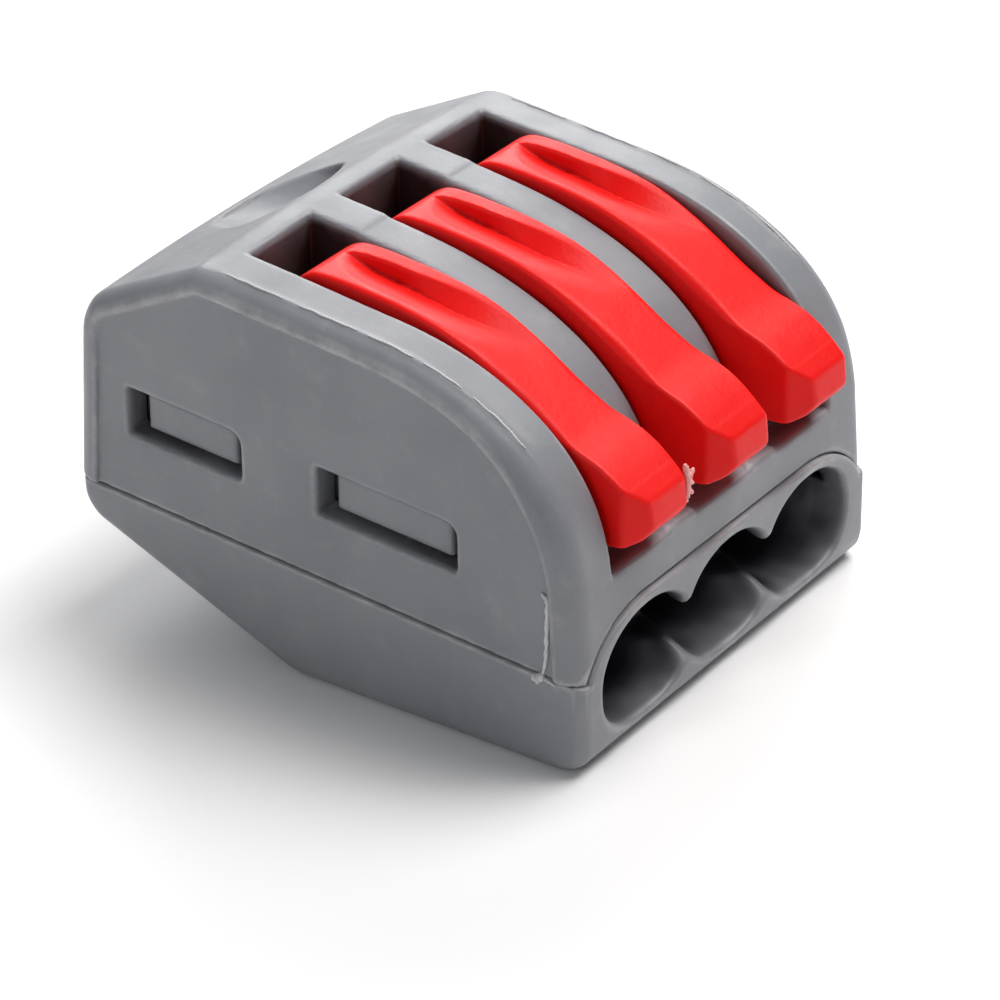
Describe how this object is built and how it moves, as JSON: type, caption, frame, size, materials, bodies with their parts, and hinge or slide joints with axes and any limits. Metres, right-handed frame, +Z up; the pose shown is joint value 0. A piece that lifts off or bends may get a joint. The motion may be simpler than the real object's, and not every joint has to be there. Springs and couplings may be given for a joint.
{
  "type": "lever wire connector",
  "caption": "Compact snap-together wire connector with flared wire entries, hinged cam levers, cage-clamp springs and a common busbar",
  "frame": {"origin": "centre of the overall box at the level of the flat base", "axes": "+X across the poles, -Y towards the wire entries, +Z up from the flat base"},
  "size_m": [0.0182, 0.0216, 0.0145],
  "materials": {
    "cover_grey": "moulded polyamide, semi-matt mid grey",
    "base_grey": "moulded polyamide, semi-matt mid grey",
    "lever_red": "moulded polyamide, semi-gloss signal red",
    "spring_steel": "rolled stainless spring strip",
    "tinned_copper": "tin-plated copper, silver-white"
  },
  "bodies": {
    "housing": {"upper_housing": "cover_grey", "lower_housing": "base_grey", "busbar": "tinned_copper", "spring_bow_1": "spring_steel", "spring_bow_2": "spring_steel", "spring_bow_3": "spring_steel"},
    "lever_1": {"lever_1": "lever_red"},
    "clamp_1": {"clamp_leg_1": "spring_steel"},
    "lever_2": {"lever_2": "lever_red"},
    "clamp_2": {"clamp_leg_2": "spring_steel"},
    "lever_3": {"lever_3": "lever_red"},
    "clamp_3": {"clamp_leg_3": "spring_steel"}
  },
  "joints": [
    {"name": "lever_1_hinge", "type": "hinge", "parent": "housing", "child": "lever_1", "pos_m": [-0.005, 0.0007, 0.0113], "axis": [-1, 0, 0], "range_deg": [0, 100]},
    {"name": "clamp_1_flex", "type": "hinge", "parent": "housing", "child": "clamp_1", "pos_m": [-0.005, 0.0057, 0.0074], "axis": [1, 0, 0], "range_deg": [0, 15]},
    {"name": "lever_2_hinge", "type": "hinge", "parent": "housing", "child": "lever_2", "pos_m": [0, 0.0007, 0.0113], "axis": [-1, 0, 0], "range_deg": [0, 100]},
    {"name": "clamp_2_flex", "type": "hinge", "parent": "housing", "child": "clamp_2", "pos_m": [0, 0.0057, 0.0074], "axis": [1, 0, 0], "range_deg": [0, 15]},
    {"name": "lever_3_hinge", "type": "hinge", "parent": "housing", "child": "lever_3", "pos_m": [0.005, 0.0007, 0.0113], "axis": [-1, 0, 0], "range_deg": [0, 100]},
    {"name": "clamp_3_flex", "type": "hinge", "parent": "housing", "child": "clamp_3", "pos_m": [0.005, 0.0057, 0.0074], "axis": [1, 0, 0], "range_deg": [0, 15]}
  ],
  "couplings": [
    {"joint": "clamp_1_flex", "follows": "lever_1_hinge", "ratio": 0.15},
    {"joint": "clamp_2_flex", "follows": "lever_2_hinge", "ratio": 0.15},
    {"joint": "clamp_3_flex", "follows": "lever_3_hinge", "ratio": 0.15}
  ]
}
